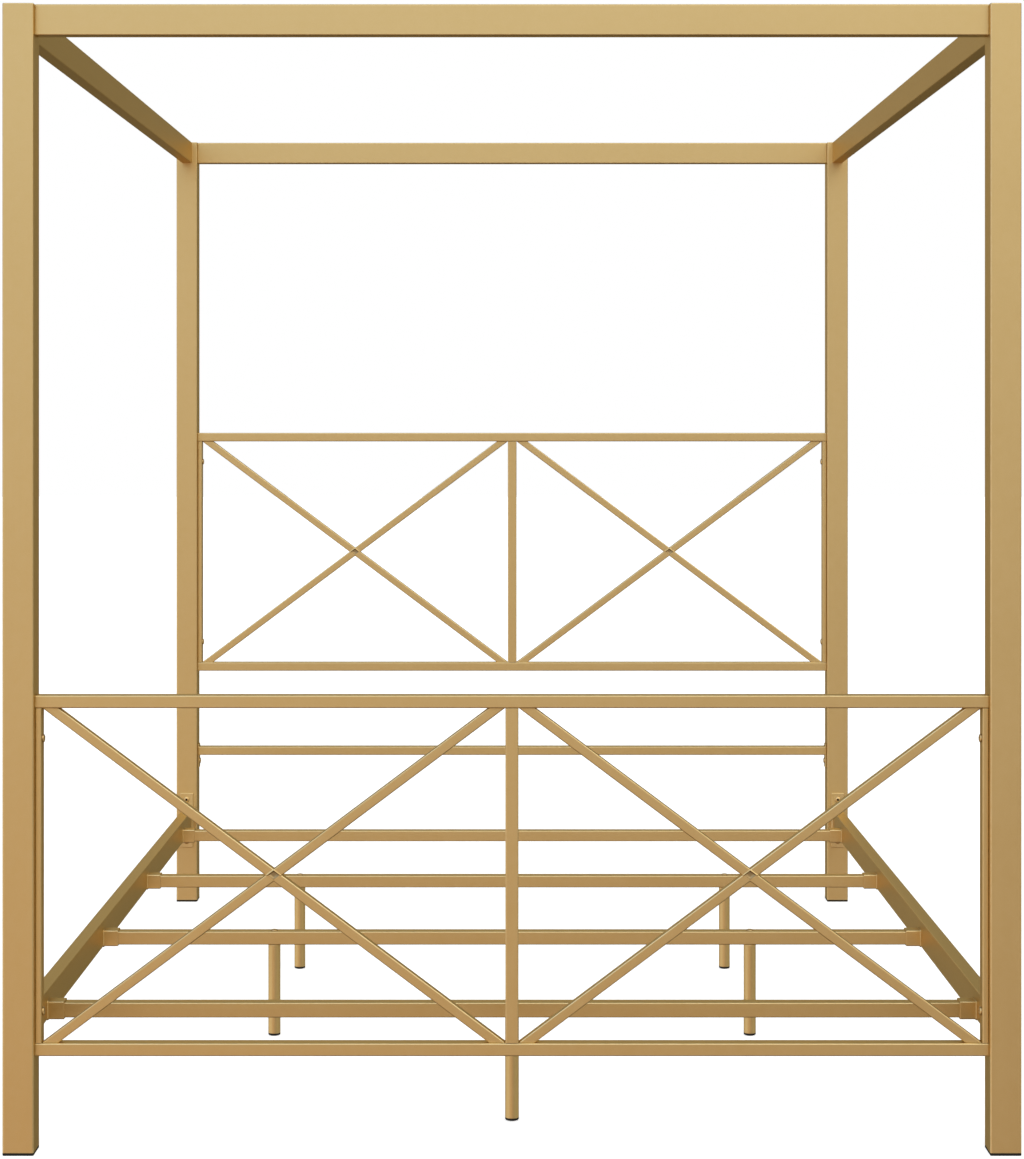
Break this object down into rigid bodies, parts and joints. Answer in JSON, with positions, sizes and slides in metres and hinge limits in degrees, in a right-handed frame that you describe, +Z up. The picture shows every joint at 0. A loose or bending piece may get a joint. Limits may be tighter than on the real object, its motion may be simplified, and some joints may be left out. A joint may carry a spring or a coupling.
{
  "type": "canopy bed frame",
  "caption": "Four poster canopy bed frame in square steel tube, with crossed headboard and footboard panels, slats on bolted side rails and centre legs.",
  "frame": {"origin": "on the floor, below the middle of the bed", "axes": "+X to the right seen from the foot, +Y towards the headboard, +Z up"},
  "size_m": [1.628, 2.14, 1.8415],
  "materials": {
    "gold_tube": "satin gold powder coat",
    "gold_plate": "satin gold powder coat",
    "gold_bolt": "gold lacquer over zinc plated steel",
    "black_foot": "black moulded polyethylene"
  },
  "bodies": {
    "root": {"canopy_rail_front": "gold_tube", "canopy_rail_left": "gold_tube", "canopy_rail_rear": "gold_tube", "canopy_rail_right": "gold_tube", "footboard_bottom_bar": "gold_tube", "footboard_centre_bar": "gold_tube", "footboard_left_bar": "gold_tube", "footboard_left_front_brace": "gold_tube", "footboard_left_lower_bolt": "gold_bolt", "footboard_left_rear_brace": "gold_tube", "footboard_left_upper_bolt": "gold_bolt", "footboard_right_bar": "gold_tube", "footboard_right_front_brace": "gold_tube", "footboard_right_lower_bolt": "gold_bolt", "footboard_right_rear_brace": "gold_tube", "footboard_right_upper_bolt": "gold_bolt", "footboard_top_bar": "gold_tube", "headboard_bottom_bar": "gold_tube", "headboard_centre_bar": "gold_tube", "headboard_crossbar": "gold_tube", "headboard_left_bar": "gold_tube", "headboard_left_front_brace": "gold_tube", "headboard_left_lower_bolt": "gold_bolt", "headboard_left_rear_brace": "gold_tube", "headboard_left_upper_bolt": "gold_bolt", "headboard_right_bar": "gold_tube", "headboard_right_front_brace": "gold_tube", "headboard_right_lower_bolt": "gold_bolt", "headboard_right_rear_brace": "gold_tube", "headboard_right_upper_bolt": "gold_bolt", "headboard_top_bar": "gold_tube", "leg_1_centre": "gold_tube", "leg_2_left": "gold_tube", "leg_2_right": "gold_tube", "leg_3_left": "gold_tube", "leg_3_right": "gold_tube", "leg_foot_1_centre": "black_foot", "leg_foot_2_left": "black_foot", "leg_foot_2_right": "black_foot", "leg_foot_3_left": "black_foot", "leg_foot_3_right": "black_foot", "post_foot_front_left": "black_foot", "post_foot_front_right": "black_foot", "post_foot_rear_left": "black_foot", "post_foot_rear_right": "black_foot", "post_front_left": "gold_tube", "post_front_right": "gold_tube", "post_rear_left": "gold_tube", "post_rear_right": "gold_tube", "rail_plate_front_left": "gold_plate", "rail_plate_front_right": "gold_plate", "rail_plate_rear_left": "gold_plate", "rail_plate_rear_right": "gold_plate", "side_rail_left": "gold_tube", "side_rail_right": "gold_tube", "slat_1": "gold_tube", "slat_2": "gold_tube", "slat_3": "gold_tube", "slat_4": "gold_tube"}
  },
  "joints": []
}
